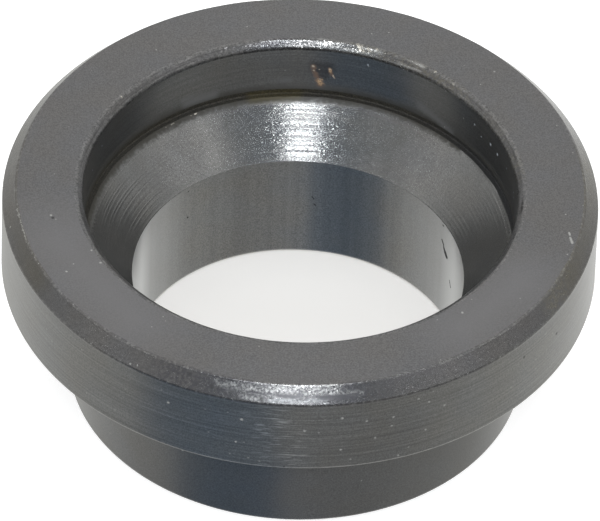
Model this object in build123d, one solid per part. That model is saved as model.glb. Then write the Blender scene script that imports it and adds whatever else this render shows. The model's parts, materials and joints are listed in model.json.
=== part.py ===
from build123d import *

import os
from math import radians, tan

# Receiver bushing, a single ring turned from a bar of tool steel. Lengths are in millimetres.
# A clamp's locating shank slides into the bore from the flange side, and its balls swell out into
# the pocket and bear on the conical seat below. The pilot is pressed into a hole in a plate until
# the flange's shoulder meets the plate.
# The origin is the centre of the pilot's end, and +Z runs up the axis to the flange face.

# The bore that locates the shank
bore_diameter = 16.0
bore_length = 5.95

# The ball pocket and its seat
pocket_diameter = 20.8
seat_angle = 45.0  # degrees, between the seat and the axis
seat_ledge = 0.15  # how far the seat stops short of the pocket's wall

# The relief groove between the seat and the pocket's wall
relief_depth = 0.10
relief_height = 0.35
relief_rounding = 0.06

# The pocket's mouth, broken by a small rounded chamfer
mouth_width = 0.35
mouth_height = 0.30
mouth_rounding = 0.12

# The flange
flange_diameter = 28.6
flange_thickness = 4.9
face_chamfer_width = 0.65
face_chamfer_height = 0.75
shoulder_rounding = 0.15

# The pilot, and the undercut round its root that lets the shoulder sit flat
pilot_diameter = 22.0
pilot_length = 6.6
foot_rounding = 0.15
undercut_width = 0.70
undercut_depth = 0.20
undercut_rounding = 0.08


def section_corners():
    """Half of the ring's section, as corners going round from the foot of the bore.

    Each corner is its distance from the axis, its height and the radius that rounds it.
    """
    bore_radius = bore_diameter / 2
    pocket_radius = pocket_diameter / 2
    flange_radius = flange_diameter / 2
    pilot_radius = pilot_diameter / 2
    undercut_radius = pilot_radius + undercut_width
    undercut_height = pilot_length + undercut_depth
    seat_radius = pocket_radius - seat_ledge
    relief_radius = pocket_radius + relief_depth
    mouth_radius = pocket_radius + mouth_width
    seat_height = bore_length + (seat_radius - bore_radius) / tan(radians(seat_angle))
    face_height = pilot_length + flange_thickness
    return [
        (bore_radius, 0, foot_rounding),
        (bore_radius, bore_length, 0),
        (seat_radius, seat_height, 0),
        (relief_radius, seat_height, relief_rounding),
        (pocket_radius, seat_height + relief_height, 0),
        (pocket_radius, face_height - mouth_height, mouth_rounding),
        (mouth_radius, face_height, mouth_rounding),
        (flange_radius - face_chamfer_width, face_height, 0),
        (flange_radius, face_height - face_chamfer_height, 0),
        (flange_radius, pilot_length, shoulder_rounding),
        (undercut_radius, pilot_length, 0),
        (undercut_radius - undercut_depth, undercut_height, 0),
        (pilot_radius, undercut_height, undercut_rounding),
        (pilot_radius, 0, foot_rounding),
    ]


def receiver_bushing():
    """The section, turned once round the axis."""
    corners = section_corners()
    places = [(out, up) for out, up, rounding in corners]
    roundings = [rounding for out, up, rounding in corners]
    with BuildPart() as ring:
        with BuildSketch(Plane.XZ):
            with BuildLine():
                FilletPolyline(*places, radius=roundings, close=True)
            make_face()
        revolve(axis=Axis.Z)
    return ring.part


os.makedirs("parts", exist_ok=True)
export_step(receiver_bushing(), "parts/receiver_bushing.step")
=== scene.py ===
import json
import random
from functools import partial
from math import cos, pi, radians, sin, tan

import bpy
from mathutils import Matrix, Vector


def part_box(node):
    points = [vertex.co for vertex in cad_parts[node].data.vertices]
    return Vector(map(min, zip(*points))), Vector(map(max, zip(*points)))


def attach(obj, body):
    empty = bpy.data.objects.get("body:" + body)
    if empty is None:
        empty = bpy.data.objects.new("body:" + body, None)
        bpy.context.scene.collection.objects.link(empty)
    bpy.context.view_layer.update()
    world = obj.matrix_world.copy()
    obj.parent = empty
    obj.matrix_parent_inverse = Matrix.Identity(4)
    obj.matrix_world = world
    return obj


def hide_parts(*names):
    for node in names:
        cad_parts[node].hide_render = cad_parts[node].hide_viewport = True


# The receiver bushing's finish: one ring of hardened steel, turned, ground where it locates, and
# blackened. The section and the marks on it are in millimetres, and the meshes are in metres.

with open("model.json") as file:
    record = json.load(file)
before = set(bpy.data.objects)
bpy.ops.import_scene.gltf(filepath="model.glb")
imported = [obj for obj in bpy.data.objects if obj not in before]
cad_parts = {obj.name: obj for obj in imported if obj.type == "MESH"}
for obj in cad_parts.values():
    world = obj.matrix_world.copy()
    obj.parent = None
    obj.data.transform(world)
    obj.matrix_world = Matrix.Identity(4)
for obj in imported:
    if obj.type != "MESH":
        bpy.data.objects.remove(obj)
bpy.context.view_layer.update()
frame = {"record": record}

MM = 0.001

# What the frame gives: the ring's outside, and the walls and faces that its mounts name
mounts = {mount["name"]: mount for mount in frame["record"]["mounts"]}
flange_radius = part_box("receiver_bushing")[1].x / MM
face_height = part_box("receiver_bushing")[1].z / MM
bore_radius = mounts["locating_bore"]["dims"]["r_mm"]
pocket_radius = mounts["ball_pocket"]["dims"]["r_mm"]
pilot_radius = mounts["pilot"]["dims"]["r_mm"]
shoulder_height = mounts["shoulder"]["pos_m"][2] / MM

# The rest of the section, as the part's source has it
bore_length = 5.95
seat_ledge = 0.15
relief_depth = 0.10
relief_height = 0.35
relief_rounding = 0.06
mouth_width = 0.35
mouth_height = 0.30
face_chamfer_width = 0.65
face_chamfer_height = 0.75
shoulder_rounding = 0.15
foot_rounding = 0.15
undercut_width = 0.70
undercut_depth = 0.20
undercut_rounding = 0.08
seat_outer_radius = pocket_radius - seat_ledge
seat_height = bore_length + seat_outer_radius - bore_radius

# The tool's grooves on a turned stretch: how far apart they are, and how deep
seat_feed, seat_groove = 0.21, 0.0025
chamfer_feed, chamfer_groove = 0.25, 0.0015
flange_feed, flange_groove = 0.27, 0.002
shoulder_feed, shoulder_groove = 0.25, 0.003

# The break that tumbling leaves on each crisp edge, and how far the worn edges wander
edge_break = 0.05
chamfer_break = 0.16
mouth_break = 0.28
rim_break = 0.24
edge_wander = 0.03

# How finely the ring is divided
steps_around = 320
arc_steps = 3
support_gap = 0.03
merge_gap = 1e-7  # metres, where the ring meets itself

# A groove's points, as shares of its width from one sharp crest to the next, and how uneven grooves are
groove_points = (0.0, 0.08, 0.5, 0.92)
groove_widths = (0.6, 1.4)
groove_depths = (0.3, 1.0)
groove_seed = 16
level_ground = 0.5  # neither a crest nor a groove

# How the worn edges wander round the ring. Noise keeps near its middle, so it is stretched.
wander_scale = 7.0
wander_detail = 3.0
wander_stretch = 2.0
wander_seed = 3.0

FINISHES = ["bore", "seat", "relief", "pocket", "mouth", "face", "chamfer", "flange", "pilot"]


def corner(out, up, rounding, finish, feed=0.0, groove=0.0, wander=0.0, edge_finish=None):
    """A corner of the section, and how its edge and the stretch after it were finished."""
    return {"place": Vector((out, up)), "rounding": rounding, "finish": finish,
            "feed": feed, "groove": groove, "wander": wander, "edge_finish": edge_finish or finish}


def section_corners():
    """The ring's section, going round from the foot of the bore with the metal on the right."""
    undercut_radius = pilot_radius + undercut_width
    undercut_height = shoulder_height + undercut_depth
    return [
        corner(bore_radius, 0, foot_rounding, "bore"),
        corner(bore_radius, bore_length, edge_break, "seat", seat_feed, seat_groove),
        corner(seat_outer_radius, seat_height, edge_break, "relief", wander=edge_wander),
        corner(pocket_radius + relief_depth, seat_height, relief_rounding, "relief"),
        corner(pocket_radius, seat_height + relief_height, edge_break, "pocket"),
        corner(pocket_radius, face_height - mouth_height, mouth_break, "mouth"),
        corner(pocket_radius + mouth_width, face_height, rim_break, "face",
               wander=edge_wander, edge_finish="mouth"),
        corner(flange_radius - face_chamfer_width, face_height, chamfer_break, "chamfer",
               chamfer_feed, chamfer_groove, edge_wander),
        corner(flange_radius, face_height - face_chamfer_height, chamfer_break, "flange",
               flange_feed, flange_groove, edge_finish="chamfer"),
        corner(flange_radius, shoulder_height, shoulder_rounding, "flange",
               shoulder_feed, shoulder_groove),
        corner(undercut_radius, shoulder_height, edge_break, "flange"),
        corner(undercut_radius - undercut_depth, undercut_height, edge_break, "flange"),
        corner(pilot_radius, undercut_height, undercut_rounding, "pilot"),
        corner(pilot_radius, 0, foot_rounding, "face"),
    ]


def arc_at(before, here, after, radius):
    """The points that round one corner, from the stretch before it to the one after."""
    along = (here - before).normalized()
    turn = along.angle_signed((after - here).normalized())
    reach = radius * tan(abs(turn) / 2)
    side = Vector((along.y, -along.x)) * (1 if turn > 0 else -1)
    centre = here - along * reach + side * radius
    spoke = here - along * reach - centre
    angles = [-turn * step / arc_steps for step in range(arc_steps + 1)]
    return [centre + Vector((spoke.x * cos(a) - spoke.y * sin(a), spoke.x * sin(a) + spoke.y * cos(a)))
            for a in angles]


def stretch_between(start, end, feed, groove, draw):
    """The points between two arcs, and how near a groove's crest each one is.

    The grooves are cut into the metal, uneven in width and depth.
    """
    along = (end - start).normalized()
    inward = Vector((along.y, -along.x))
    first = start + along * support_gap
    last = end - along * support_gap
    count = round((last - first).length / feed) if feed else 0
    if not count:
        return [(first, level_ground), (last, level_ground)]
    widths = [draw.uniform(*groove_widths) for turn in range(count)]
    points = []
    begun = 0.0
    for width in widths:
        cut = groove * draw.uniform(*groove_depths)
        for share in groove_points:
            low = 4 * share * (1 - share)  # 1 in the middle of the groove, and 0 at its crests
            place = first.lerp(last, (begun + share * width) / sum(widths))
            points.append((place + inward * cut * low, 1 - low))
        begun += width
    return points + [(last, 1.0)]


def section_points():
    """Each point round the section.

    It holds its distance out, its height, its finish, whether it is on an edge or a crest, and how
    far it wanders.
    """
    draw = random.Random(groove_seed)
    corners = section_corners()
    places = [one["place"] for one in corners]
    arcs = [arc_at(places[k - 1], places[k], places[(k + 1) % len(places)], corners[k]["rounding"])
            for k in range(len(places))]
    points = []
    for k, one in enumerate(corners):
        finish = FINISHES.index(one["finish"])
        edge_finish = FINISHES.index(one["edge_finish"])
        points += [(place.x, place.y, edge_finish, 1.0, level_ground, one["wander"]) for place in arcs[k]]
        following = arcs[(k + 1) % len(arcs)]
        stretch = stretch_between(arcs[k][-1], following[0], one["feed"], one["groove"], draw)
        points += [(place.x, place.y, finish, 0.0, crest, 0.0) for place, crest in stretch]
    return points


# The kinds of node that are used most
MATH = "ShaderNodeMath"
VECTOR_MATH = "ShaderNodeVectorMath"
MAP_RANGE = "ShaderNodeMapRange"
NOISE = "ShaderNodeTexNoise"
MIX = "ShaderNodeMix"


def add(tree, kind, inputs=None, operation=None, **settings):
    """Adds a node with its settings, and sets its inputs or links them to a socket or a node.

    Where an input is given a node, it takes that node's first output.
    """
    node = tree.nodes.new(kind)
    if operation:
        node.operation = operation
    for name, value in settings.items():
        setattr(node, name, value)
    for name, value in (inputs or {}).items():
        if isinstance(value, bpy.types.Node):
            value = value.outputs[0]
        if isinstance(value, bpy.types.NodeSocket):
            tree.links.new(value, node.inputs[name])
        else:
            node.inputs[name].default_value = value
    return node


def placed(name, data):
    """An object in the scene that holds some data."""
    made = bpy.data.objects.new(name, data)
    bpy.context.scene.collection.objects.link(made)
    return made


def cleared_tree(owner):
    """The node tree of a material or a world, emptied."""
    owner.use_nodes = True
    owner.node_tree.nodes.clear()
    return owner.node_tree


def lathe_tree(materials):
    """A node tree that turns a section, given as a loop of points in XZ, once round Z."""
    tree = bpy.data.node_groups.new("lathe", "GeometryNodeTree")
    tree.interface.new_socket("Section", in_out="INPUT", socket_type="NodeSocketGeometry")
    steps_input = tree.interface.new_socket("Steps Around", in_out="INPUT", socket_type="NodeSocketInt")
    seed_input = tree.interface.new_socket("Wander Seed", in_out="INPUT", socket_type="NodeSocketFloat")
    tree.interface.new_socket("Ring", in_out="OUTPUT", socket_type="NodeSocketGeometry")
    given = add(tree, "NodeGroupInput")
    section = given.outputs["Section"]
    steps = given.outputs["Steps Around"]

    def section_value(name, kind, row):
        """What the section's point in a row holds under a name."""
        held = add(tree, "GeometryNodeInputNamedAttribute", {"Name": name}, data_type=kind)
        return add(tree, "GeometryNodeSampleIndex",
                   {"Geometry": section, "Value": held.outputs["Attribute"], "Index": row}, data_type=kind,
                   domain="POINT")

    # A grid with a row for each point of the section and a column for each step round the ring
    count = add(tree, "GeometryNodeAttributeDomainSize", {"Geometry": section}).outputs["Point Count"]
    rows = add(tree, MATH, {0: count, 1: 1}, "ADD")
    columns = add(tree, MATH, {0: steps, 1: 1}, "ADD")
    ring = add(tree, "GeometryNodeMeshGrid", {"Vertices X": rows, "Vertices Y": columns})
    index = add(tree, "GeometryNodeInputIndex")
    middle = add(tree, MATH, {0: index, 1: 0.5}, "ADD")
    row = add(tree, MATH, {0: middle, 1: columns}, "DIVIDE")
    row = add(tree, MATH, {0: row}, "FLOOR")
    row = add(tree, MATH, {0: row, 1: count}, "MODULO")
    face_row = add(tree, MATH, {0: middle, 1: steps}, "DIVIDE")
    face_row = add(tree, MATH, {0: face_row}, "FLOOR")

    # The way each column faces, and how far a worn edge wanders there
    turn = add(tree, MATH, {0: index, 1: columns}, "MODULO")
    turn = add(tree, MATH, {0: turn, 1: steps}, "DIVIDE")
    turn = add(tree, MATH, {0: turn, 1: 2 * pi}, "MULTIPLY")
    across = add(tree, MATH, {0: turn}, "COSINE")
    ahead = add(tree, MATH, {0: turn}, "SINE")
    facing = add(tree, "ShaderNodeCombineXYZ", {"X": across, "Y": ahead})
    drift = add(tree, NOISE,
                {"Vector": facing, "W": given.outputs["Wander Seed"], "Scale": wander_scale,
                 "Detail": wander_detail}, noise_dimensions="4D")
    drift = add(tree, MAP_RANGE,
                {"Value": drift, "To Min": -wander_stretch * MM, "To Max": wander_stretch * MM})
    wander = section_value("wander", "FLOAT", row)
    wander = add(tree, MATH, {0: wander, 1: drift}, "MULTIPLY")

    place = add(tree, "ShaderNodeSeparateXYZ", {0: section_value("position", "FLOAT_VECTOR", row)})
    out = add(tree, MATH, {0: place.outputs["X"], 1: wander}, "ADD")
    level = add(tree, VECTOR_MATH, {0: facing, 3: out}, "SCALE")
    height = add(tree, "ShaderNodeCombineXYZ", {"Z": place.outputs["Z"]})
    turned = add(tree, VECTOR_MATH, {0: level, 1: height}, "ADD")
    ring = add(tree, "GeometryNodeSetPosition", {"Geometry": ring, "Position": turned})
    for name in ("edge", "crest"):
        ring = add(tree, "GeometryNodeStoreNamedAttribute",
                   {"Geometry": ring, "Name": name, "Value": section_value(name, "FLOAT", row)},
                   data_type="FLOAT", domain="POINT")
    ring = add(tree, "GeometryNodeStoreNamedAttribute",
               {"Geometry": ring, "Name": "finish", "Value": section_value("finish", "INT", face_row)},
               data_type="INT", domain="FACE")
    ring = add(tree, "GeometryNodeMergeByDistance", {"Geometry": ring, "Distance": merge_gap})
    ring = add(tree, "GeometryNodeSetShadeSmooth", {"Geometry": ring})
    ring = add(tree, "GeometryNodeRealizeInstances", {"Geometry": ring})
    finish = add(tree, "GeometryNodeInputNamedAttribute", {"Name": "finish"}, data_type="INT")
    for number, name in enumerate(FINISHES):
        chosen = add(tree, "FunctionNodeCompare", {2: finish.outputs["Attribute"], 3: number},
                     data_type="INT", operation="EQUAL")
        ring = add(tree, "GeometryNodeSetMaterial",
                   {"Geometry": ring, "Selection": chosen, "Material": materials[name]})
    add(tree, "NodeGroupOutput", {"Ring": ring})
    return tree, steps_input.identifier, seed_input.identifier


def turned_ring(materials):
    """The ring as one mesh, turned from its section."""
    outs, ups, finishes, edges, crests, wanders = zip(*section_points())
    outline = bpy.data.meshes.new("section")
    outline.from_pydata([(out * MM, 0, up * MM) for out, up in zip(outs, ups)], [], [])
    outline.attributes.new("finish", "INT", "POINT").data.foreach_set("value", finishes)
    for name, values in (("edge", edges), ("crest", crests), ("wander", wanders)):
        outline.attributes.new(name, "FLOAT", "POINT").data.foreach_set("value", values)
    blank = placed("section", outline)
    tree, steps_input, seed_input = lathe_tree(materials)
    lathe = blank.modifiers.new("lathe", "NODES")
    lathe.node_group = tree
    lathe[steps_input] = steps_around
    lathe[seed_input] = wander_seed
    mesh = bpy.data.meshes.new_from_object(blank.evaluated_get(bpy.context.evaluated_depsgraph_get()))
    mesh.name = "turned_ring"
    bpy.data.objects.remove(blank)
    return placed("turned_ring", mesh)


def linear(colour):
    """An sRGB hex colour as linear RGBA."""
    shares = [int(colour[k:k + 2], 16) / 255 for k in (1, 3, 5)]
    return [s / 12.92 if s <= 0.04045 else ((s + 0.055) / 1.055) ** 2.4 for s in shares] + [1.0]


def ring_place(azimuth, out, up):
    """A place on the ring, at an azimuth in degrees that grows from the front to the right."""
    return Vector((out * sin(radians(azimuth)), -out * cos(radians(azimuth)), up))


def spot(azimuth, out, up, half_width=0.05):
    """A mark at one place."""
    return ring_place(azimuth, out, up), ring_place(azimuth, out, up), half_width


def stroke(start, end, half_width):
    """A mark from one place to another, each (azimuth, out, up)."""
    return ring_place(*start), ring_place(*end), half_width


def sweep(start, end, out, up, half_width):
    """A mark round the ring, from one azimuth to another."""
    return stroke((start, out, up), (end, out, up), half_width)


def wall_spots(out, places):
    """Marks on a wall this far out, each (azimuth, up, half width)."""
    return [spot(azimuth, out, up, half_width) for azimuth, up, half_width in places]


def wall_strokes(out, places):
    """Marks on a wall this far out, each (azimuth, up) where it starts and ends, and its half width."""
    return [stroke((start, out, low), (end, out, high), half_width)
            for start, low, end, high, half_width in places]


# What the layers look like: the oxide, the oil, steel worn bare, rust and dust, and colours that paint
# light and shade
OXIDE = linear("#575858")
OXIDE_FACED = linear("#545455")
OXIDE_PAINTED_SHEEN = linear("#666566")
# The pilot's oxide, darker as painted shade
OXIDE_PAINTED_SHADE_PILOT = linear("#4b4c4d")
OXIDE_WORKED = linear("#4e4e4f")
OXIDE_VIOLET = linear("#38373a")
# Ground oxide, also laid on the chamfer as painted highlight
OXIDE_GROUND_AND_PAINTED_LIGHT = linear("#666767")
# Dark oxide, also laid as painted shade
OXIDE_DARK_AND_PAINTED_SHADE = linear("#2a2a2a")
SCRATCHED = linear("#161617")
OIL_DARK = linear("#33312b")
OIL_BROWN = linear("#65604f")
OIL_OLIVE = linear("#484124")
# Worn steel, also laid as painted light and painted highlight
WORN_STEEL_AND_PAINTED_LIGHT = linear("#959592")
WORN_PALE = linear("#c4bfb2")
# Colours that paint light and reflections on the bore's sides
PAINTED_LIGHT_SATIN = linear("#9c9d9e")
PAINTED_REFLECTION_SILVER = linear("#c8c9ca")
RUST = linear("#5f4a3b")
RUST_TAN = linear("#b29470")
RUST_PALE = linear("#b5a998")
RUST_DARK = linear("#211d1b")
DUST = linear("#8e8e8a")
DUST_PALE = linear("#a4aab0")


class Finish:
    """A finish as it is built up, layer on layer: its colour, roughness, metal and height.

    It reads where it is on the ring: place in millimetres, heading from the axis, out from it, and up.
    """

    def __init__(self, name, colour, roughness):
        self.material = bpy.data.materials.new(name)
        self.add = partial(add, cleared_tree(self.material))
        metres = self.add("ShaderNodeTexCoord").outputs["Object"]
        self.place = self.add(VECTOR_MATH, {0: metres, 3: 1 / MM}, "SCALE")
        level = self.add(VECTOR_MATH, {0: self.place, 1: (1, 1, 0)}, "MULTIPLY")
        self.heading = self.add(VECTOR_MATH, {0: level}, "NORMALIZE")
        self.out = self.add(VECTOR_MATH, {0: level}, "LENGTH").outputs["Value"]
        self.up = self.add("ShaderNodeSeparateXYZ", {0: self.place}).outputs["Z"]
        self.edge = self.add("ShaderNodeAttribute", attribute_name="edge").outputs["Fac"]
        self.crest = self.add("ShaderNodeAttribute", attribute_name="crest").outputs["Fac"]
        self.colour = colour
        self.roughness = roughness
        self.metal = film_metal
        self.height = 0.0

    def patches(self, size, low=0.0, high=1.0, start=0.0, end=1.0, detail=2.0):
        """Cloudy patches about a size across, from start where the cloud is low to end where it is high."""
        cloud = self.add(NOISE, {"Vector": self.place, "Scale": 1 / size, "Detail": detail})
        return self.add(MAP_RANGE,
                        {"Value": cloud, "From Min": low, "From Max": high, "To Min": start, "To Max": end})

    def facets(self, size):
        """Crumbs about a size across, each a flat with a tilt of its own, mostly slight.

        As a height, they sparkle under a lamp.
        """
        crumb = self.add("ShaderNodeTexVoronoi", {"Vector": self.place, "Scale": 1 / size})
        away = self.add(VECTOR_MATH, {0: self.place, 1: crumb.outputs["Position"]}, "SUBTRACT")
        turn = self.add(VECTOR_MATH, {0: crumb.outputs["Color"], 1: noise_middle}, "SUBTRACT")
        bend = self.add(VECTOR_MATH, {0: turn, 1: turn}, "MULTIPLY")
        tilt = self.add(VECTOR_MATH, {0: bend, 1: turn}, "MULTIPLY")
        height = self.add(VECTOR_MATH, {0: away, 1: tilt}, "DOT_PRODUCT")
        return height.outputs["Value"]

    def lanes(self, across, feed, drift):
        """A space where the tool's lines run straight: 1 across a line, and 1 / drift radians along it."""
        lane = self.add(MATH, {0: across, 1: 1 / feed}, "MULTIPLY")
        lane = self.add("ShaderNodeCombineXYZ", {"Z": lane})
        around = self.add(VECTOR_MATH, {0: self.heading, 3: drift}, "SCALE")
        return self.add(VECTOR_MATH, {0: around, 1: lane}, "ADD")

    def tool_lines(self, across, feed, drift, low=0.0, high=1.0):
        """Lines round the ring, about a feed apart across it, that come and go as the heading changes."""
        lanes = self.lanes(across, feed, drift)
        line = self.add(NOISE, {"Vector": lanes, "Scale": 1.0})
        return self.add(MAP_RANGE, {"Value": line, "From Min": low, "From Max": high})

    def scallops(self, across, feed):
        """Uneven grooves with sharp crests round the ring, about a feed apart: 1 in a groove."""
        turn = self.add(MATH, {0: across, 1: 1 / feed}, "MULTIPLY")
        uneven = self.add(NOISE, {"W": turn, "Scale": scallop_drift}, noise_dimensions="1D")
        turn = self.add(MATH, {0: uneven, 1: scallop_wander, 2: turn}, "MULTIPLY_ADD")
        share = self.add(MATH, {0: turn}, "FRACT")
        rest = self.add(MATH, {0: 1.0, 1: share}, "SUBTRACT")
        deep = self.add(MATH, {0: share, 1: rest}, "MULTIPLY")
        return self.add(MATH, {0: deep, 1: 4.0}, "MULTIPLY")

    def marks(self, strokes, ragged=0.0, soft=0.4):
        """1 inside each stroke and 0 outside it, with a ragged, soft rim."""
        jitter = self.add(NOISE, {"Vector": self.place, "Scale": 1 / rag_size})
        jitter = self.add(VECTOR_MATH, {0: jitter.outputs["Color"], 1: noise_middle}, "SUBTRACT")
        jitter = self.add(VECTOR_MATH, {0: jitter, 3: 2 * ragged}, "SCALE")
        place = self.add(VECTOR_MATH, {0: self.place, 1: jitter}, "ADD")
        cover = None
        for start, end, half_width in strokes:
            run = end - start
            away = self.add(VECTOR_MATH, {0: place, 1: start}, "SUBTRACT")
            if run.length > 0:
                share = self.add(VECTOR_MATH, {0: away, 1: run / run.length_squared},
                                 "DOT_PRODUCT").outputs["Value"]
                share = self.add("ShaderNodeClamp", {"Value": share})
                nearest = self.add(VECTOR_MATH, {0: run, 3: share}, "SCALE")
                away = self.add(VECTOR_MATH, {0: away, 1: nearest}, "SUBTRACT")
            away = self.add(VECTOR_MATH, {0: away}, "LENGTH").outputs["Value"]
            inside = self.add(MAP_RANGE,
                              {"Value": away, "From Min": half_width * (1 + soft),
                               "From Max": half_width * (1 - soft)})
            if cover:
                inside = self.add(MATH, {0: cover, 1: inside}, "MAXIMUM")
            cover = inside
        return cover

    def grime(self, away, near, far, where=1.0, roughness=None, metal=None):
        """Old oil, packed near and gone far, so many millimetres away, with a ragged, soft rim."""
        bites = self.patches(grime_bite, low=0.3, high=0.7, start=-grime_reach, end=grime_reach, detail=5.0)
        away = self.add(MATH, {0: away, 1: bites}, "ADD")
        cover = self.add(MAP_RANGE, {"Value": away, "From Min": far, "From Max": near},
                         interpolation_type="SMOOTHSTEP")
        self.lay(cover, OIL_DARK, roughness=roughness, metal=metal, where=where)

    def dust(self, cover, colour=DUST, where=1.0):
        """Lays dust, dull and hardly metallic."""
        self.lay(cover, colour, roughness=dust_roughness, metal=dust_metal, where=where)

    def work(self, across, feed, groove, dent, depth):
        """Fine lines that the tool leaves, and shallow dents between them."""
        self.lift(self.tool_lines(across, feed=feed, drift=line_drift), height=groove)
        self.lift(self.patches(dent), height=depth)

    def specks(self, spacing, radius):
        """Dots of dust up to a radius, scattered about a spacing apart."""
        nearest = self.add("ShaderNodeTexVoronoi", {"Vector": self.place, "Scale": 1 / spacing})
        return self.add(MAP_RANGE,
                        {"Value": nearest.outputs["Distance"], "From Min": speck_rim * radius / spacing,
                         "From Max": speck_core * radius / spacing})

    def lay(self, cover, colour, roughness=None, metal=None, where=1.0):
        """Lays a colour, and if given a roughness and metal, where cover and where are both 1."""
        cover = self.add(MATH, {0: cover, 1: where}, "MULTIPLY")
        self.colour = self.add(MIX, {0: cover, 6: self.colour, 7: colour}, data_type="RGBA").outputs[2]
        if roughness is not None:
            self.roughness = self.add(MIX, {0: cover, 2: self.roughness, 3: roughness})
        if metal is not None:
            self.metal = self.add(MIX, {0: cover, 2: self.metal, 3: metal})

    def mark(self, strokes, colour, ragged=0.0, soft=0.4, roughness=None, metal=None, where=1.0):
        """Lays a colour on strokes."""
        self.lay(self.marks(strokes, ragged=ragged, soft=soft), colour, roughness=roughness, metal=metal,
                 where=where)

    def shade(self, pattern):
        """Darkens or lightens the colour by a pattern."""
        self.colour = self.add(VECTOR_MATH, {0: self.colour, 3: pattern}, "SCALE")

    def shade_along(self, value, first, last, start=0.0, end=1.0):
        """Shades the colour by first where a value is at start, and by last where it is at end."""
        self.shade(self.add(MAP_RANGE,
                            {"Value": value, "From Min": start, "From Max": end, "To Min": first,
                             "To Max": last}))

    def lift(self, pattern, height, where=1.0):
        """Raises the surface where the cover is 1, by a pattern this many millimetres high."""
        pattern = self.add(MATH, {0: pattern, 1: where}, "MULTIPLY")
        self.height = self.add(MATH, {0: pattern, 1: height, 2: self.height}, "MULTIPLY_ADD")

    def done(self, anisotropy, oiled=True):
        """The material: gloss drawn out across the tool's lines, and oil over the metal."""
        bump = self.add("ShaderNodeBump", {"Strength": 1.0, "Distance": MM, "Height": self.height})
        tangent = self.add("ShaderNodeTangent", direction_type="RADIAL", axis="Z")
        steel = self.add("ShaderNodeBsdfPrincipled",
                         {"Base Color": self.colour, "Metallic": self.metal, "Roughness": self.roughness,
                          "Normal": bump, "Anisotropic": anisotropy, "Anisotropic Rotation": quarter_turn,
                          "Tangent": tangent, "Coat Weight": self.metal if oiled else 0.0,
                          "Coat Roughness": oil_roughness, "Coat IOR": oil_ior})
        self.add("ShaderNodeOutputMaterial", {"Surface": steel})
        return self.material


# The oxide film is part metal, and part a dull crust that lifts the deepest shadows
film_metal = 0.86
# The film of oil on it
oil_ior = 1.5
oil_roughness = 0.25
# The gloss runs across the tool's lines
quarter_turn = 0.25
# How big the bites out of a mark's rim are and out of the grime's, and how far the grime's reach
rag_size = 0.12
grime_bite = 0.18
grime_reach = 0.07
# Dust and rust, and a speck's soft rim as shares of its radius
dust_roughness = 0.7
dust_metal = 0.2
rust_roughness = 0.8
rust_metal = 0.2
speck_rim = 1.2
speck_core = 0.4
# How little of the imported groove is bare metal, and how high the shadow in its corner reaches
packed_metal = 0.3
groove_shadow = 0.08
# How quickly the width of a scallop changes, and by how much
scallop_drift = 0.6
scallop_wander = 1.5
# The colour that a noise swings round
noise_middle = (0.5, 0.5, 0.5)
# What is too fine to show is drawn as coarse as it needs to be. The oxide's crystals are a few
# thousandths across, and its speckle is drawn at seven hundredths. The lines of a grinding wheel are
# a hundredth apart and are drawn at six, and the dents and crumbs of tumbled or lapped metal are
# drawn at five to nine. Dust is drawn up to a tenth across.
line_drift = 1.5
speckle_size = 0.07
speckle_depth = 0.32
cloud_size = 2.2
warmth = (1.04, 1.0, 0.94)
cloud_roughness = 1.08


def black_oxide(name, colour, roughness):
    """Where each finish starts: steel under an oiled black oxide.

    It gives the eye a dim grey metal, clouded and speckled, whose oil brightens where it is seen edge on.
    """
    finish = Finish(name, colour, roughness)
    warmer = [share * tint for share, tint in zip(colour, warmth)] + [1.0]
    finish.lay(finish.patches(cloud_size, low=0.35, high=0.65, detail=3.0), warmer,
               roughness=roughness * cloud_roughness)
    speckle = finish.patches(speckle_size, low=0.3, high=0.7, start=1 - speckle_depth,
                             end=1 + speckle_depth)
    finish.shade(speckle)
    return finish


def ground_bore():
    """Ground steel, with lines too fine to tell apart: it shades smoothly, with soft streaks down it, and
    painted light and shade.
    """
    finish = black_oxide("black_oxide_ground_bore", OXIDE_GROUND_AND_PAINTED_LIGHT, roughness=0.34)
    finish.work(finish.up, feed=0.06, groove=0.0008, dent=0.09, depth=0.0006)
    down = finish.tool_lines(across=0.0, feed=1.0, drift=18.0, low=0.3, high=0.7)
    finish.shade_along(down, first=0.9, last=1.1)
    # Painted shade: a dim patch at the back of the bore. Painted light: lighter ends and pale reflection
    # bands at its sides.
    finish.mark(bore_painted_shade, OXIDE_DARK_AND_PAINTED_SHADE, soft=0.9, where=0.28)
    finish.mark(bore_ends_painted_light, PAINTED_LIGHT_SATIN, soft=0.9)
    finish.mark(bore_painted_reflection_bands, PAINTED_REFLECTION_SILVER, soft=0.8, where=0.6)
    scratches = finish.marks(bore_scratches, ragged=0.04, soft=0.25)
    finish.lay(scratches, SCRATCHED, roughness=0.6, metal=0.1)
    finish.lift(scratches, height=-0.02)
    finish.lay(finish.edge, WORN_STEEL_AND_PAINTED_LIGHT, where=0.3)
    return finish.done(anisotropy=0.9)


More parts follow.
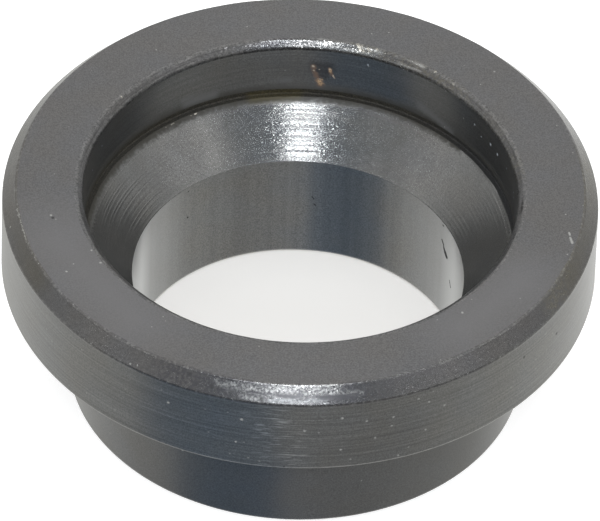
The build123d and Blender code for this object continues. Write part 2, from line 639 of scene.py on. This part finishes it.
def turned_seat():
    """Turned with a sharp tool and lapped a little: rings of bright dashes and sparkle under the lamp."""
    finish = black_oxide("black_oxide_turned_seat", OXIDE, roughness=0.2)
    crisp = finish.marks(seat_crisp, soft=0.9)
    finish.lay(crisp, finish.colour, roughness=0.11,
               where=finish.tool_lines(finish.out, feed=0.2, drift=2.5, low=0.36, high=0.54))
    finish.lift(finish.scallops(finish.out, feed=0.18), height=-0.006, where=crisp)
    finish.lift(finish.scallops(finish.out, feed=0.15), height=-0.0026,
                where=finish.marks(seat_scored, ragged=0.2, soft=0.7))
    finish.lift(finish.tool_lines(finish.out, feed=0.08, drift=1.5), height=0.001)
    finish.lift(finish.facets(0.045), height=0.9, where=finish.marks(seat_speckled, soft=0.9))
    finish.shade(finish.patches(0.8, low=0.35, high=0.65, start=0.92, end=1.06))
    # Painted shade and painted light: one streak across the seat darker, one lighter, and both ends lighter
    # as well as rougher
    finish.mark(seat_painted_shade_streak, OXIDE_DARK_AND_PAINTED_SHADE, soft=0.9, where=0.22)
    finish.mark(seat_painted_light_streak, WORN_STEEL_AND_PAINTED_LIGHT, soft=0.9, where=0.25)
    finish.mark(seat_ends_rough_and_painted_light, WORN_STEEL_AND_PAINTED_LIGHT, soft=0.9, roughness=0.4, where=0.3)
    finish.lay(finish.edge, WORN_STEEL_AND_PAINTED_LIGHT, where=0.25)
    aside = finish.add(MATH, {0: seat_outer_radius, 1: finish.out}, "SUBTRACT")
    wiped = finish.marks(seat_wiped, ragged=0.1, soft=0.7)
    unwiped = finish.add(MATH, {0: 1.0, 1: wiped}, "SUBTRACT")
    finish.grime(aside, near=0.02, far=0.23, where=unwiped, roughness=0.6, metal=0.0)
    finish.grime(aside, near=0.02, far=0.34, where=finish.marks(grime_thick, ragged=0.2, soft=0.7),
                 roughness=0.7, metal=0.1)
    finish.mark(oil_olive, OIL_OLIVE, ragged=0.08, soft=0.7, roughness=0.7, metal=0.1, where=0.75)
    finish.mark(seat_crests, WORN_STEEL_AND_PAINTED_LIGHT, soft=0.7,
                where=finish.tool_lines(finish.out, feed=0.07, drift=3.0, low=0.5))
    finish.mark(seat_specks, WORN_PALE, ragged=0.05, soft=0.6, roughness=0.5, metal=0.3,
                where=finish.patches(0.08, low=0.4, high=0.6, start=0.2, end=0.9))
    return finish.done(anisotropy=0.5)


def relief_groove():
    """A narrow groove, never polished, packed with old oil: a soft dark olive line."""
    finish = black_oxide("oil_packed_relief_groove", OIL_DARK, roughness=0.7)
    finish.metal = packed_metal
    finish.mark(groove_dry, OXIDE_DARK_AND_PAINTED_SHADE, soft=0.9)
    finish.mark(oil_olive, OIL_OLIVE, ragged=0.08, soft=0.7, where=0.7)
    finish.shade_along(finish.up, first=0.6, last=1.4, start=seat_height, end=seat_height + groove_shadow)
    finish.shade(finish.patches(0.07, low=0.35, high=0.65, start=0.55, end=1.5))
    return finish.done(anisotropy=0.0, oiled=False)


def turned_pocket():
    """A wall turned with a fine feed: dim and even, with faint lines, dust, and one spot of rust."""
    finish = black_oxide("black_oxide_turned_pocket", OXIDE, roughness=0.34)
    finish.work(finish.up, feed=0.1, groove=0.0015, dent=0.09, depth=0.001)
    lines = finish.tool_lines(finish.up, feed=0.12, drift=2.5, low=0.3, high=0.7)
    finish.shade_along(lines, first=0.8, last=1.08)
    over_groove = finish.add(MATH, {0: finish.up, 1: seat_height + relief_height}, "SUBTRACT")
    finish.grime(over_groove, near=-0.02, far=0.6, roughness=0.6, metal=0.3)
    finish.mark(pocket_smudges, OXIDE_GROUND_AND_PAINTED_LIGHT, ragged=0.15, soft=0.8)
    finish.mark(pocket_pale, OXIDE_GROUND_AND_PAINTED_LIGHT, ragged=0.05, soft=0.8, where=0.7)
    # Painted shade: the wall darker low on the right and at the back
    finish.mark(pocket_painted_shade, OXIDE_DARK_AND_PAINTED_SHADE, soft=0.9, where=0.4)
    finish.mark(rust_shadow, RUST_DARK, ragged=0.2, soft=0.8, roughness=0.5, where=0.9)
    finish.mark(rust_brown, RUST, ragged=0.12, soft=0.6, roughness=rust_roughness, metal=rust_metal)
    finish.mark(rust_tan, RUST_TAN, ragged=0.14, soft=0.6, roughness=rust_roughness, metal=rust_metal,
                where=finish.patches(0.07, low=0.4, high=0.55, start=0.2))
    finish.mark(rust_pale, RUST_PALE, ragged=0.08, soft=0.6, roughness=rust_roughness, metal=rust_metal)
    finish.dust(finish.marks(pocket_dust, ragged=0.04), DUST_PALE)
    finish.dust(finish.specks(spacing=0.9, radius=0.045))
    return finish.done(anisotropy=0.9)


def broken_mouth():
    """The pocket's mouth, broken by hand and knocked by the balls: mottled, with a bright, nicked rim."""
    finish = black_oxide("black_oxide_broken_mouth", OXIDE_WORKED, roughness=0.3)
    finish.mark(mouth_polished, finish.colour, soft=0.9, roughness=0.15)
    finish.lift(finish.tool_lines(finish.up, feed=0.07, drift=3.0), height=0.004)
    finish.lift(finish.facets(0.07), height=1.4)
    finish.lift(finish.patches(0.35), height=0.012)
    finish.shade(finish.patches(0.16, low=0.35, high=0.65, start=0.7, end=1.2))
    # Painted shade: the mouth darker towards its foot, where it turns down into the pocket
    finish.shade_along(finish.up, first=0.8, last=1.05, start=face_height - mouth_height, end=face_height)
    lines = finish.tool_lines(finish.up, feed=0.05, drift=5.0, low=0.35, high=0.65)
    finish.shade_along(lines, first=0.7, last=1.3)
    finish.mark(mouth_stains, OIL_BROWN, ragged=0.2, soft=0.9, roughness=0.4,
                where=finish.patches(0.15, low=0.4, high=0.65, end=0.4))
    finish.lay(finish.edge, WORN_STEEL_AND_PAINTED_LIGHT, where=finish.patches(0.14, low=0.42, high=0.58, end=0.2))
    # Partly wear and partly painted highlight: the rim and streaks lightened beside the lamp's highlight at
    # the back
    finish.mark(mouth_worn_rim_and_painted_highlight, WORN_STEEL_AND_PAINTED_LIGHT, ragged=0.05, soft=0.7, roughness=0.25,
                where=finish.tool_lines(finish.up, feed=0.06, drift=5.0, low=0.45, high=0.65))
    finish.mark(mouth_streaks_and_painted_highlight, WORN_STEEL_AND_PAINTED_LIGHT, ragged=0.05, soft=0.7, roughness=0.3,
                where=finish.tool_lines(finish.up, feed=0.09, drift=8.0, low=0.45, high=0.75))
    finish.mark(mouth_glints, WORN_PALE, ragged=0.12, soft=0.7, roughness=0.4,
                where=finish.patches(0.06, low=0.4, high=0.6, start=0.2))
    return finish.done(anisotropy=0.5)


def faced_flange():
    """Faced and then tumbled: an even satin grey, with the last of the tool's lines."""
    finish = black_oxide("black_oxide_faced", OXIDE_FACED, roughness=0.45)
    finish.work(finish.out, feed=0.15, groove=0.0006, dent=0.08, depth=0.0015)
    # Painted sheen: the face lighter at front left and front right
    finish.mark(face_painted_sheen, OXIDE_PAINTED_SHEEN, soft=0.9, where=0.75)
    finish.lay(finish.edge, OXIDE_DARK_AND_PAINTED_SHADE, where=finish.patches(0.25, low=0.45, high=0.65, end=0.5))
    finish.dust(finish.marks(face_dust, ragged=0.04))
    finish.mark(face_nicks, OXIDE_DARK_AND_PAINTED_SHADE, ragged=0.05, roughness=0.6)
    finish.dust(finish.specks(spacing=0.9, radius=0.04))
    return finish.done(anisotropy=0.5)


def flange_chamfer():
    """The chamfer that takes the knocks: blotchy, dull in patches and bright between them, with a painted
    highlight in front.
    """
    finish = black_oxide("black_oxide_knocked_chamfer", OXIDE_WORKED, roughness=0.2)
    finish.lift(finish.tool_lines(finish.up, feed=0.2, drift=3.0), height=0.006)
    finish.lift(finish.facets(0.07), height=0.55)
    finish.lift(finish.patches(0.3), height=0.014)
    finish.shade(finish.patches(0.22, low=0.3, high=0.7, start=0.92, end=1.08, detail=3.0))
    knocked = finish.marks(chamfer_knocked, ragged=0.1, soft=0.9)
    finish.lay(knocked, OXIDE_VIOLET, roughness=0.35,
               where=finish.patches(0.14, low=0.4, high=0.6, start=0.15))
    # Painted highlight: lighter bands, patches and rim in front, where the lamp's highlight falls; the
    # rim's stroke further left is wear
    highlight_lines = finish.tool_lines(finish.up, feed=0.09, drift=18.0, low=0.38, high=0.52)
    finish.mark(chamfer_painted_highlight, OXIDE_GROUND_AND_PAINTED_LIGHT, ragged=0.08, soft=0.6, roughness=0.28, where=highlight_lines)
    finish.mark(chamfer_rim_wear_and_painted_highlight, WORN_STEEL_AND_PAINTED_LIGHT, ragged=0.08, soft=0.6, roughness=0.3, where=highlight_lines)
    finish.mark(chamfer_painted_highlight_patches, WORN_STEEL_AND_PAINTED_LIGHT, ragged=0.1, soft=0.8, roughness=0.3,
                where=finish.patches(0.11, low=0.38, high=0.6, end=0.8))
    streaks = finish.tool_lines(finish.up, feed=0.2, drift=4.0, low=0.42, high=0.56)
    finish.mark(chamfer_streaked, OXIDE_VIOLET, ragged=0.1, soft=0.6, roughness=0.45, where=streaks)
    finish.mark(chamfer_dull_spots, OXIDE_DARK_AND_PAINTED_SHADE, ragged=0.15, soft=0.6, roughness=0.5)
    finish.dust(finish.marks(chamfer_dust, ragged=0.04))
    finish.mark(chamfer_oil, OIL_BROWN, ragged=0.2, soft=0.9, roughness=0.4,
                where=finish.patches(0.2, low=0.3, high=0.7, end=0.65))
    finish.mark(chamfer_film, OIL_OLIVE, ragged=0.1, soft=0.8, where=0.3)
    finish.lay(finish.edge, WORN_STEEL_AND_PAINTED_LIGHT, where=finish.patches(0.16, low=0.5, high=0.65, end=0.28))
    return finish.done(anisotropy=0.5)


def turned_flange():
    """Turned and left as cut: rows of fine lines, some in front painted bright as glints, and a worn lower
    edge.
    """
    finish = black_oxide("black_oxide_turned_flange", OXIDE, roughness=0.3)
    finish.lift(finish.tool_lines(finish.up, feed=0.1, drift=1.5), height=0.002)
    lines = finish.tool_lines(finish.up, feed=0.13, drift=3.0, low=0.3, high=0.7)
    finish.shade_along(lines, first=0.82, last=1.18)
    finish.shade_along(finish.crest, first=0.92, last=1.08)
    rows = finish.scallops(finish.up, feed=0.2)
    finish.shade_along(rows, first=1.1, last=0.93)
    # Painted shade low on the side in front, and painted glints on the lines in front
    finish.mark(flange_painted_shade, OXIDE_DARK_AND_PAINTED_SHADE, soft=0.9, where=0.2)
    finish.mark(flange_painted_glints, WORN_STEEL_AND_PAINTED_LIGHT, ragged=0.2, soft=0.8,
                where=finish.tool_lines(finish.up, feed=0.1, drift=14.0, low=0.54, high=0.68))
    finish.lay(finish.edge, WORN_STEEL_AND_PAINTED_LIGHT, roughness=0.5,
               where=finish.patches(0.4, low=0.35, high=0.6, end=0.35))
    finish.mark(flange_nicks, OXIDE_DARK_AND_PAINTED_SHADE, ragged=0.05, roughness=0.6)
    finish.dust(finish.marks(flange_dust, ragged=0.06, soft=0.6))
    finish.dust(finish.specks(spacing=0.7, radius=0.055), where=0.6)
    return finish.done(anisotropy=0.9)


def ground_pilot():
    """Ground for its press fit: smooth and painted a little darker for shade, rubbed at the foot."""
    finish = black_oxide("black_oxide_ground_pilot", OXIDE_PAINTED_SHADE_PILOT, roughness=0.34)
    finish.work(finish.up, feed=0.06, groove=0.0008, dent=0.08, depth=0.0006)
    # Painted shade: the pilot darker still on the right
    finish.mark(pilot_painted_shade, OXIDE_DARK_AND_PAINTED_SHADE, soft=0.9, where=0.7)
    finish.lay(finish.edge, WORN_STEEL_AND_PAINTED_LIGHT, where=finish.patches(0.4, low=0.35, high=0.6, end=0.3))
    finish.dust(finish.marks(pilot_dust, ragged=0.04))
    finish.dust(finish.specks(spacing=1.0, radius=0.045), where=0.7)
    return finish.done(anisotropy=0.9)


# Marks in the bore
bore_scratches = wall_strokes(bore_radius, [
    (119.9, 4.76, 118.9, 4.6, 0.055), (118.9, 4.6, 118.5, 4.42, 0.05), (118.3, 4.38, 117.3, 4.22, 0.09),
    (117.3, 4.22, 116.3, 4.08, 0.13), (113, 2.88, 111.8, 2.56, 0.045), (175.9, 3.66, 175.3, 3.52, 0.035),
    (175.1, 3.18, 174.5, 3.1, 0.035)])
bore_scratches += wall_spots(bore_radius, [(119.5, 5.75, 0.06), (-137, 5.69, 0.05), (-137, 3.98, 0.05)])
# Painted light and shade in the bore: pale bands and lighter ends at the sides stand for reflections, a dim
# patch at the back for a dark one
bore_painted_reflection_bands = wall_strokes(bore_radius, [(109.5, 0, 109.5, 6, 0.85), (-108.5, 0, -108.5, 6, 0.6)])
bore_painted_shade = wall_strokes(bore_radius, [(164, 0, 164, 6, 1.3)])
bore_ends_painted_light = wall_strokes(bore_radius, [(100, 0, 100, 6, 3.2), (-100, 0, -100, 6, 2.8)])

# Marks on the seat and in the groove over it
oil_olive = [sweep(-166, -178, 10.32, 8.27, 0.26)]
groove_dry = [sweep(100, 122, 10.4, 8.3, 3)]
# The seat's ends: rougher, and painted lighter for the light that falls there
seat_ends_rough_and_painted_light = [stroke((90, 8, 6), (90, 10, 8), 5.5), stroke((-92, 8, 6), (-92, 10, 8), 5.5)]
seat_crisp = [sweep(170, 190, 9.1, 7.05, 3)]
seat_scored = [sweep(-100, -126, 9.3, 7.25, 1.5)]
seat_speckled = [sweep(145, 166, 9.1, 7.05, 2.8), sweep(194, 212, 9.1, 7.05, 2.8)]
# A painted light streak and a painted shade streak across the seat
seat_painted_light_streak = [stroke((-151, 8.5, 6.45), (-151, 9.8, 7.75), 0.6)]
seat_painted_shade_streak = [stroke((151, 8.3, 6.25), (151, 9.9, 7.85), 0.7)]
seat_crests = [sweep(97, 112, 10.12, 8.07, 0.16)]
seat_wiped = [sweep(96, 112, 10.15, 8.1, 0.2), sweep(112, 130, 10.15, 8.1, 0.2)]
seat_specks = [
    stroke((-149.6, 10.22, 8.17), (-148.8, 10.2, 8.15), 0.026), spot(-147.8, 10.2, 8.15, 0.025),
    sweep(-142.2, -141.2, 10.2, 8.15, 0.022), spot(-139.5, 10.2, 8.15, 0.022)]
grime_thick = [
    sweep(-90, -125, 10.3, 8.2, 2.6), sweep(-125, -142, 10.3, 8.2, 2), sweep(-161, -178, 10.3, 8.2, 0.5),
    sweep(-178, 168, 10.3, 8.2, 0.4)]

# Marks on the pocket's wall
rust_brown = wall_strokes(pocket_radius, [
    (177.7, 10.08, 177.2, 9.65, 0.1), (177.2, 9.65, 176.2, 9.2, 0.11), (176.2, 9.2, 175.6, 8.9, 0.16),
    (173.2, 9.95, 172.7, 9.65, 0.09), (172.6, 9.62, 171.9, 9.38, 0.05)])
rust_tan = wall_strokes(pocket_radius, [(176, 9.15, 175.6, 8.97, 0.11), (173.2, 9.95, 172.95, 9.8, 0.06)])
rust_tan += wall_spots(pocket_radius, [(175.2, 9.2, 0.06)])
rust_pale = wall_strokes(pocket_radius, [(172.4, 9.58, 171.95, 9.4, 0.03)])
rust_pale += wall_spots(pocket_radius, [
    (177.75, 10.05, 0.055), (177.5, 9.78, 0.04), (176, 9.88, 0.03), (173.25, 9.93, 0.045)])
rust_shadow = wall_strokes(pocket_radius, [
    (177.4, 10.15, 173.2, 10.1, 0.22), (176.9, 9.8, 173.8, 9.75, 0.24), (176, 9.45, 174.4, 9.45, 0.16)])
pocket_dust = wall_spots(pocket_radius, [
    (127, 10.32, 0.05), (119, 10.15, 0.08), (115, 10.11, 0.08), (108.3, 10.25, 0.05), (100.3, 9.98, 0.05),
    (100, 9.70, 0.05), (123.8, 9.96, 0.04), (162.8, 10.66, 0.05), (-105, 9.8, 0.05), (-112, 10.3, 0.05)])
# Painted shade on the pocket's wall
pocket_painted_shade = wall_strokes(pocket_radius, [(96, 9.1, 132, 9.1, 1.9), (176, 9.7, 182, 9.7, 1)])
pocket_pale = wall_strokes(pocket_radius, [(-146, 9.15, -176, 9.15, 0.15), (-147, 8.85, -155, 8.85, 0.24)])
pocket_smudges = wall_strokes(pocket_radius, [(146.8, 9.18, 136.5, 8.70, 0.2)])

# Marks on the pocket's mouth
mouth_stains = [sweep(166, 140, 10.6, 11.4, 0.6), sweep(140, 100, 10.6, 11.4, 0.5)]
mouth_polished = [sweep(162, 184, 10.6, 11.35, 1.6)]
# A worn rim and streaks at the back, lightened partly as painted highlight
mouth_worn_rim_and_painted_highlight = [sweep(148, 176, 10.66, 11.42, 0.16)]
mouth_streaks_and_painted_highlight = [sweep(161, 174, 10.6, 11.36, 0.28)]
mouth_glints = [
    spot(144, 10.75, 11.5), spot(137.5, 10.67, 11.45), spot(166.6, 11, 11.5, 0.03),
    stroke((166.3, 10.75, 11.5), (165.4, 10.58, 11.35), 0.07),
    stroke((165.2, 10.72, 11.47), (164.4, 10.56, 11.33), 0.06),
    stroke((163.4, 10.7, 11.45), (162.6, 10.6, 11.37), 0.05), spot(161, 10.72, 11.48, 0.06),
    spot(-125, 10.7, 11.5)]

# Marks on the flange's face and chamfer
# Painted sheen on the face
face_painted_sheen = [sweep(-70, -40, 12.2, 11.5, 2), sweep(40, 60, 12.2, 11.5, 1.6)]
face_dust = [
    spot(-64, 10.97, 11.5), spot(-60, 12.69, 11.5), spot(-59, 10.97, 11.5, 0.06), spot(133.8, 12.74, 11.5),
    spot(43.3, 11.43, 11.5, 0.06), stroke((79, 13.12, 11.5), (78.3, 13.18, 11.5), 0.045),
    stroke((77.5, 13.25, 11.5), (76.1, 13.42, 11.5), 0.06), spot(84.5, 12.75, 11.5, 0.04),
    spot(87.7, 13.55, 11.5, 0.035), spot(72.5, 13.42, 11.5, 0.035), spot(-78.4, 12.12, 11.5, 0.06)]
face_nicks = [spot(-77.5, 12.07, 11.5, 0.08)]
chamfer_knocked = [sweep(-24, -6, 14, 11.1, 1), sweep(-6, 12, 14, 11.1, 1)]
chamfer_streaked = [stroke((-8, 14, 11.1), (0, 14.02, 11.05), 0.09), sweep(5, 12, 14.03, 11.05, 0.1)]
# Painted highlight on the chamfer's front and on its rim there; the rim's stroke further left is wear
chamfer_painted_highlight_patches = [
    sweep(-4, 8, 13.8, 11.33, 0.2), stroke((-15, 13.85, 11.25), (-4, 13.95, 11.15), 0.16),
    stroke((-10, 14.15, 10.93), (-6, 14.2, 10.88), 0.1), stroke((7, 13.9, 11.2), (13, 14, 11.1), 0.1)]
chamfer_painted_highlight = [sweep(-4.5, 6, 14.17, 10.89, 0.12)]
chamfer_rim_wear_and_painted_highlight = [sweep(-8, 9, 13.7, 11.45, 0.04), sweep(-81.5, -71.5, 13.67, 11.47, 0.03)]
chamfer_dust = [
    spot(-78.5, 14.08, 11, 0.045), spot(-33.2, 14.2, 10.86, 0.045), spot(-31.7, 14.15, 10.92, 0.04)]
chamfer_dull_spots = [
    spot(-6.3, 14.15, 10.9, 0.13), spot(-16, 14, 11.05, 0.12), spot(-21, 13.8, 11.2, 0.12)]
chamfer_oil = [sweep(60, 100, 14, 11.1, 0.5)]
chamfer_film = [
    sweep(-104, -84, 14, 11.1, 0.7), sweep(-84, -62, 14, 11.1, 0.7), sweep(68, 84, 14, 11.1, 0.7),
    sweep(84, 104, 14, 11.1, 0.7)]

# Marks on the flange's side and on the pilot
# Painted shade and painted glints on the flange's side
flange_painted_shade = wall_strokes(flange_radius, [(0, 7.7, 22, 7.7, 1.2)])
flange_painted_glints = wall_strokes(flange_radius, [(-4.5, 9.6, -1, 7.4, 0.9)])
flange_nicks = wall_spots(flange_radius, [(60, 9.24, 0.08), (49.3, 9.67, 0.07), (-1.5, 6.77, 0.05)])
flange_dust = wall_spots(flange_radius, [
    (-24.5, 9.48, 0.06), (-9.8, 9.57, 0.06), (9.3, 9.86, 0.06), (15.8, 8.34, 0.05), (20.5, 6.87, 0.05),
    (29.8, 9.3, 0.055), (14, 9.5, 0.05), (19.3, 9.47, 0.06), (19, 8.92, 0.05), (26.5, 9.86, 0.055),
    (24.3, 10.27, 0.05), (2.2, 9.13, 0.06), (9.2, 7.82, 0.05), (26, 8.1, 0.05), (-10.8, 8.05, 0.05)])
# Painted shade on the pilot's right
pilot_painted_shade = wall_strokes(pilot_radius, [(52, 3, 90, 3, 3.2)])
pilot_dust = wall_spots(pilot_radius, [(-28.5, 3.17, 0.05)])

ring = turned_ring({
    "bore": ground_bore(),
    "seat": turned_seat(),
    "relief": relief_groove(),
    "pocket": turned_pocket(),
    "mouth": broken_mouth(),
    "face": faced_flange(),
    "chamfer": flange_chamfer(),
    "flange": turned_flange(),
    "pilot": ground_pilot(),
})
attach(ring, "root")
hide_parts("receiver_bushing")

# The camera: a long lens, a little above 43 degrees, turned so that the right side sits lower
camera_elevation = radians(43.43)
camera_roll = radians(1.83)
camera_distance = 0.572
lens = 706.8
sensor = 36.0
nearest_seen = 0.05
frame_width, frame_height = 600, 521
foot_pixel = (295.15, 362.9)  # where the photograph has the centre of the pilot's end


def photograph_camera():
    """The camera at the photograph's place, aimed so that the foot falls on its pixel."""
    data = bpy.data.cameras.new("camera")
    data.lens = lens
    data.sensor_width = sensor
    data.clip_start = nearest_seen
    camera = placed("camera", data)
    back = Vector((0, -cos(camera_elevation), sin(camera_elevation)))
    level = Vector((1, 0, 0))
    upright = back.cross(level)
    right = level * cos(camera_roll) + upright * sin(camera_roll)
    up = upright * cos(camera_roll) - level * sin(camera_roll)
    pixel = sensor / frame_width / lens * camera_distance
    aside = (frame_width / 2 - foot_pixel[0]) * pixel
    above = (foot_pixel[1] - frame_height / 2) * pixel
    aim = right * aside + up * above
    toward = (back * camera_distance - aim).normalized()
    across = up.cross(toward).normalized()
    turn = Matrix((across, toward.cross(across), toward)).transposed()
    camera.matrix_world = Matrix.Translation(back * camera_distance) @ turn.to_4x4()
    bpy.context.scene.camera = camera


# What the camera sees of the bench top: a part that the ring's shadow dims, and a part that it
# doesn't, made less inside the bore as painted shade, where the photograph's bench top is grey. The lamps
# see paint.
FLOOR_PAINT = "#f4f4f4"
FLOOR_SHADED = "#cecdcb"
FLOOR_GLOW = "#d5d5d5"
FLOOR_GLOW_PAINTED_SHADE_IN_BORE = "#8a8782"
floor_reach = 3.0  # metres
floor_drop = 0.02 * MM  # so that the floor and the ring's foot aren't in one plane


def pale_floor():
    """A white bench top, white to the camera, with the ring's faint shadow and a painted shade inside the
    bore.

    The steel's reflections pass through it to the pale room below, as on a glass shelf.
    """
    mesh = bpy.data.meshes.new("floor")
    signs = [(-1, -1), (1, -1), (1, 1), (-1, 1)]
    corners = [(x * floor_reach, y * floor_reach, -floor_drop) for x, y in signs]
    mesh.from_pydata(corners, [], [range(len(corners))])
    material = bpy.data.materials.new("white_bench_top")
    tree = cleared_tree(material)
    rays = add(tree, "ShaderNodeLightPath")
    paint = add(tree, "ShaderNodeBsdfDiffuse", {"Color": linear(FLOOR_PAINT)})
    place = add(tree, "ShaderNodeTexCoord").outputs["Object"]
    from_axis = add(tree, VECTOR_MATH, {0: place}, "LENGTH").outputs["Value"]
    outside = add(tree, MAP_RANGE,
                  {"Value": from_axis, "From Min": bore_radius * MM, "From Max": pilot_radius * MM})
    # Painted shade: the glow dimmer inside the bore
    glow = add(tree, MIX, {0: outside, 6: linear(FLOOR_GLOW_PAINTED_SHADE_IN_BORE), 7: linear(FLOOR_GLOW)},
               data_type="RGBA").outputs[2]
    glow = add(tree, "ShaderNodeEmission", {"Color": glow})
    glass = add(tree, "ShaderNodeBsdfTransparent")
    tint = add(tree, "ShaderNodeBsdfDiffuse", {"Color": linear(FLOOR_SHADED)})
    white = add(tree, "ShaderNodeAddShader", {0: tint, 1: glow})
    seen = add(tree, "ShaderNodeMixShader", {0: rays.outputs["Is Camera Ray"], 1: paint, 2: white})
    surface = add(tree, "ShaderNodeMixShader", {0: rays.outputs["Is Glossy Ray"], 1: seen, 2: glass})
    below = add(tree, "ShaderNodeNewGeometry").outputs["Backfacing"]
    surface = add(tree, "ShaderNodeMixShader", {0: below, 1: surface, 2: glass})
    add(tree, "ShaderNodeOutputMaterial", {"Surface": surface})
    mesh.materials.append(material)
    placed("floor", mesh)


# The room, as (degrees round from the front to the right, colour). A dim blue doorway is left of the
# camera.
ROOM = [(-180, "#e2e2de"), (-158, "#d6d6d2"), (-132, "#f8f8f4"), (-100, "#fcfcf8"), (-64, "#f4f4f0"),
        (-56, "#a2b1c5"), (-50, "#98adc3"), (-10, "#a0b3c9"), (-3, "#d8dadc"), (40, "#dededc"),
        (66, "#f6f6f2"), (100, "#fffffa"), (180, "#f6f6f4")]
# The room at the bench's height, darker in front, behind the camera
HORIZON = [(-180, "#e6e6e6"), (-80, "#e6e6e6"), (-60, "#8a8a8a"), (60, "#8a8a8a"), (80, "#e6e6e6"),
           (180, "#e6e6e6")]
WHITE = (1, 1, 1, 1)
# How bright the room is: below the bench, on its walls near the bench's height, and overhead
room_below, room_walls, room_above = 1.0, 0.78, 1.14
# Where one passes into the next, as the sine of the slope that it is seen at
floor_fade = (-0.55, -0.2)
ceiling_fade = (0.3, 0.65)
colour_fade = (0.1, 0.5)
horizon_fade = (0.3, 0.12)
# The dim blue ceiling over the bench's front edge, round the key lamp
DUSK = "#a3b1c2"
dusk_heading = (0.0, -cos(radians(46)), sin(radians(46)))
dusk_reach = radians(36)


def around_room(tree, azimuth, stops):
    """A colour that changes round the room, as the stops say."""
    ramp = add(tree, "ShaderNodeValToRGB", {"Fac": azimuth})
    held = ramp.color_ramp.elements
    while len(held) < len(stops):
        held.new(0.5)
    for stop, (degrees, colour) in zip(held, stops):
        stop.position = (degrees + 180) / 360
        stop.color = linear(colour)
    return ramp


def studio_room():
    """The world: an even white room with a dimmer front, and white where the camera sees it."""
    world = bpy.data.worlds.new("studio_room")
    bpy.context.scene.world = world
    tree = cleared_tree(world)
    rays = add(tree, "ShaderNodeLightPath")
    way_seen = add(tree, "ShaderNodeTexCoord").outputs["Generated"]
    way = add(tree, "ShaderNodeSeparateXYZ", {0: way_seen})
    level = way.outputs["Z"]
    toward = add(tree, MATH, {0: way.outputs["Y"], 1: -1.0}, "MULTIPLY")
    azimuth = add(tree, MATH, {0: way.outputs["X"], 1: toward}, "ARCTAN2")
    azimuth = add(tree, MAP_RANGE, {"Value": azimuth, "From Min": -pi, "From Max": pi})
    high = add(tree, MAP_RANGE, {"Value": level, "From Min": colour_fade[0], "From Max": colour_fade[1]})
    walls = add(tree, MIX, {0: high, 6: around_room(tree, azimuth, ROOM), 7: WHITE},
                data_type="RGBA").outputs[2]
    below = add(tree, MAP_RANGE,
                {"Value": level, "From Min": floor_fade[0], "From Max": floor_fade[1], "To Min": room_below,
                 "To Max": room_walls})
    above = add(tree, MAP_RANGE,
                {"Value": level, "From Min": ceiling_fade[0], "From Max": ceiling_fade[1], "To Min": 0.0,
                 "To Max": room_above - room_walls})
    shade = add(tree, MATH, {0: below, 1: above}, "ADD")
    walls = add(tree, VECTOR_MATH, {0: walls, 3: shade}, "SCALE")
    facing = add(tree, VECTOR_MATH, {0: way_seen, 1: dusk_heading}, "DOT_PRODUCT")
    dusky = add(tree, MAP_RANGE,
                {"Value": facing.outputs["Value"], "From Min": cos(dusk_reach), "From Max": 1.0},
                interpolation_type="SMOOTHSTEP")
    walls = add(tree, MIX, {0: dusky, 6: walls, 7: linear(DUSK)}, data_type="RGBA").outputs[2]
    tilt = add(tree, MATH, {0: level}, "ABSOLUTE")
    near = add(tree, MAP_RANGE, {"Value": tilt, "From Min": horizon_fade[0], "From Max": horizon_fade[1]})
    room = add(tree, MIX, {0: near, 6: walls, 7: around_room(tree, azimuth, HORIZON)},
               data_type="RGBA").outputs[2]
    seen = add(tree, MIX, {0: rays.outputs["Is Camera Ray"], 6: room, 7: WHITE},
               data_type="RGBA").outputs[2]
    sky = add(tree, "ShaderNodeBackground", {"Color": seen})
    add(tree, "ShaderNodeOutputWorld", {"Surface": sky})


# The lamps, all as far from the ring, and the key lamps' cool light
lamp_distance = 0.6
COOL = "#f8fbff"


def soft_box(name, azimuth, elevation, size, power, colour="#ffffff"):
    """A lamp with a rectangle for its face, turned to the ring, so many degrees round and up."""
    data = bpy.data.lights.new(name, "AREA")
    data.shape = "RECTANGLE"
    data.size, data.size_y = size
    data.energy = power
    data.color = linear(colour)[:3]
    lamp = placed(name, data)
    back = ring_place(azimuth, cos(radians(elevation)), sin(radians(elevation)))
    lamp.location = back * lamp_distance
    lamp.rotation_euler = back.to_track_quat("Z", "Y").to_euler()


photograph_camera()
pale_floor()
studio_room()
soft_box("key", azimuth=0, elevation=46.5, size=(0.15, 0.06), power=0.85, colour=COOL)
soft_box("key_low", azimuth=0, elevation=37.5, size=(0.17, 0.05), power=0.24, colour=COOL)
soft_box("key_high", azimuth=0, elevation=67, size=(0.2, 0.08), power=1.2, colour=COOL)
soft_box("right_fill", azimuth=72, elevation=37, size=(0.3, 0.1), power=0.058)
soft_box("left_fill", azimuth=-83, elevation=33, size=(0.26, 0.1), power=0.035)

bpy.context.scene.view_settings.view_transform = "Standard"
